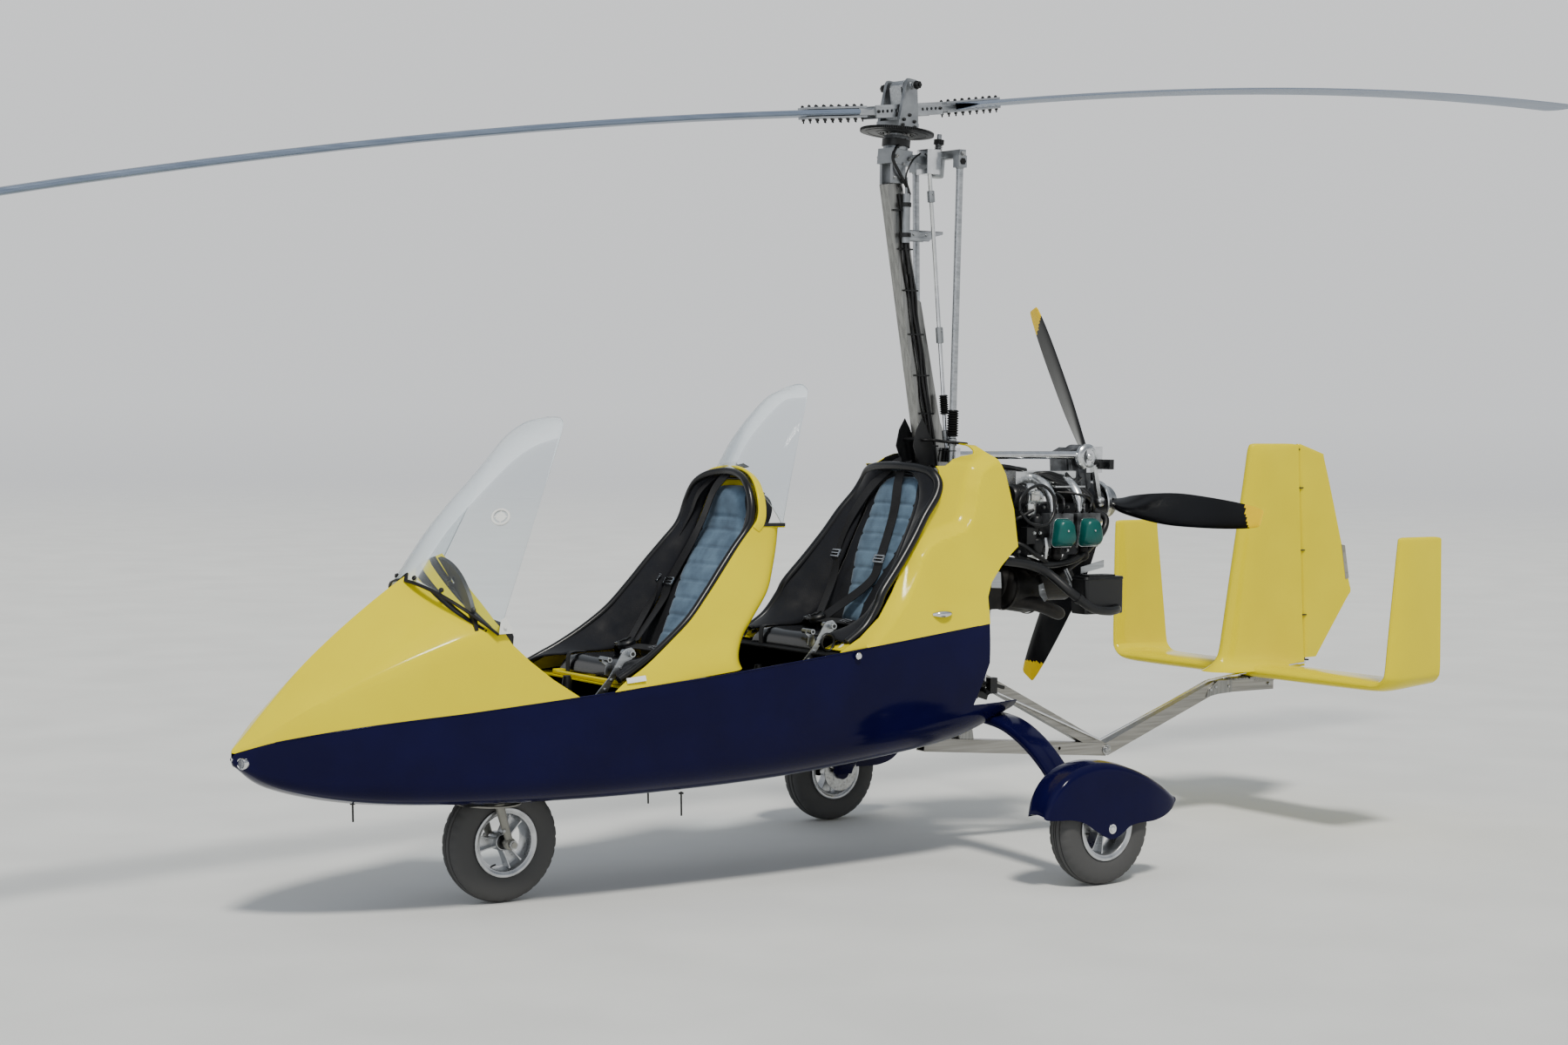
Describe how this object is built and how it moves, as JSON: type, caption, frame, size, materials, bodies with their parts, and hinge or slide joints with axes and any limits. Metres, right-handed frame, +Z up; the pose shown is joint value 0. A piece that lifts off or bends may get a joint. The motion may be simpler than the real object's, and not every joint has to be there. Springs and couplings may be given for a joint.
{
  "type": "gyrocopter",
  "caption": "Open-cockpit tandem gyrocopter with a moulded body, a pusher propeller behind the mast, a teetering rotor and a tail with end fins on a bent keel.",
  "frame": {"origin": "on the ground under the rotor head, at the middle of the rotor's length", "axes": "+X to the nose, +Y to port, +Z up"},
  "size_m": [8.3136, 1.78, 3.1297],
  "materials": {
    "yellow_gelcoat": "gloss",
    "navy_gelcoat": "gloss",
    "clear_sheet": "clear",
    "seat_vinyl": "satin",
    "black_panel": "matte",
    "stainless": "brushed",
    "bead_blasted_alloy": "satin",
    "blade_alloy": "satin",
    "engine_alloy": "cast",
    "teal_cover": "satin paint",
    "black_steel": "satin",
    "grey_steel": "satin",
    "tyre_rubber": "matte",
    "blade_composite": "satin"
  },
  "bodies": {
    "airframe": {"tub": "navy_gelcoat", "hood": "yellow_gelcoat", "front_screen": "clear_sheet", "rear_screen": "clear_sheet", "front_seat_shell": "yellow_gelcoat", "rear_cowl": "yellow_gelcoat", "rear_seat_pan": "black_panel", "front_cushion": "seat_vinyl", "front_backrest": "seat_vinyl", "rear_cushion": "seat_vinyl", "rear_backrest": "seat_vinyl", "firewall": "bead_blasted_alloy", "floor": "bead_blasted_alloy", "wheel_well": "black_panel", "instrument_panel": "black_panel", "mast": "stainless", "mast_rear_leg": "stainless", "keel": "stainless", "gear_leg": "navy_gelcoat", "left_spat": "navy_gelcoat", "right_spat": "navy_gelcoat", "tail": "yellow_gelcoat", "rudder_hinges": "black_steel", "engine_case": "engine_alloy", "cylinders": "engine_alloy", "valve_covers": "teal_cover", "intake": "bead_blasted_alloy", "exhaust": "black_steel", "air_box": "black_panel", "engine_mount": "stainless", "rotor_head": "bead_blasted_alloy", "control_rods": "stainless", "prerotator": "stainless", "trim_cylinder": "bead_blasted_alloy"},
    "nose_fork": {"nose_fork": "grey_steel"},
    "nose_wheel": {"nose_tyre": "tyre_rubber", "nose_rim": "bead_blasted_alloy"},
    "left_wheel": {"left_tyre": "tyre_rubber", "left_rim": "bead_blasted_alloy"},
    "right_wheel": {"right_tyre": "tyre_rubber", "right_rim": "bead_blasted_alloy"},
    "rudder": {"rudder": "yellow_gelcoat"},
    "propeller": {"propeller_hub": "bead_blasted_alloy", "propeller_blades": "blade_composite"},
    "rotor_hub": {"hub_tower": "bead_blasted_alloy", "ring_gear": "black_steel"},
    "rotor": {"hub_bar": "bead_blasted_alloy", "blade_clamps": "bead_blasted_alloy", "rotor_blades": "blade_alloy"}
  },
  "joints": [
    {"name": "rotor_spin", "type": "hinge", "parent": "airframe", "child": "rotor_hub", "pos_m": [-0.005, 0, 2.832], "axis": [-0.0872, 0, 0.9962], "continuous": true},
    {"name": "rotor_teeter", "type": "hinge", "parent": "rotor_hub", "child": "rotor", "pos_m": [-0.005, 0, 2.832], "axis": [0.095, -0.9954, 0.0083], "range_deg": [0, 24.35]},
    {"name": "prop_spin", "type": "hinge", "parent": "airframe", "child": "propeller", "pos_m": [-1.02, 0, 1.304], "axis": [0.9995, 0, -0.03], "continuous": true},
    {"name": "nose_steer", "type": "hinge", "parent": "airframe", "child": "nose_fork", "pos_m": [1.69, 0, 0.4], "axis": [0, 0, 1], "range_deg": [-20, 20]},
    {"name": "nose_wheel_spin", "type": "hinge", "parent": "nose_fork", "child": "nose_wheel", "pos_m": [1.629, 0, 0.203], "axis": [0, 1, 0], "continuous": true},
    {"name": "left_wheel_spin", "type": "hinge", "parent": "airframe", "child": "left_wheel", "pos_m": [-0.303, 0.808, 0.203], "axis": [0, 1, 0], "continuous": true},
    {"name": "right_wheel_spin", "type": "hinge", "parent": "airframe", "child": "right_wheel", "pos_m": [-0.303, -0.808, 0.203], "axis": [0, 1, 0], "continuous": true},
    {"name": "rudder_turn", "type": "hinge", "parent": "airframe", "child": "rudder", "pos_m": [-2.165, 0, 0.62], "axis": [0.0633, 0, 0.998], "range_deg": [-25, 25]}
  ],
  "couplings": [
    {"joint": "rudder_turn", "follows": "nose_steer", "ratio": -1.25}
  ]
}
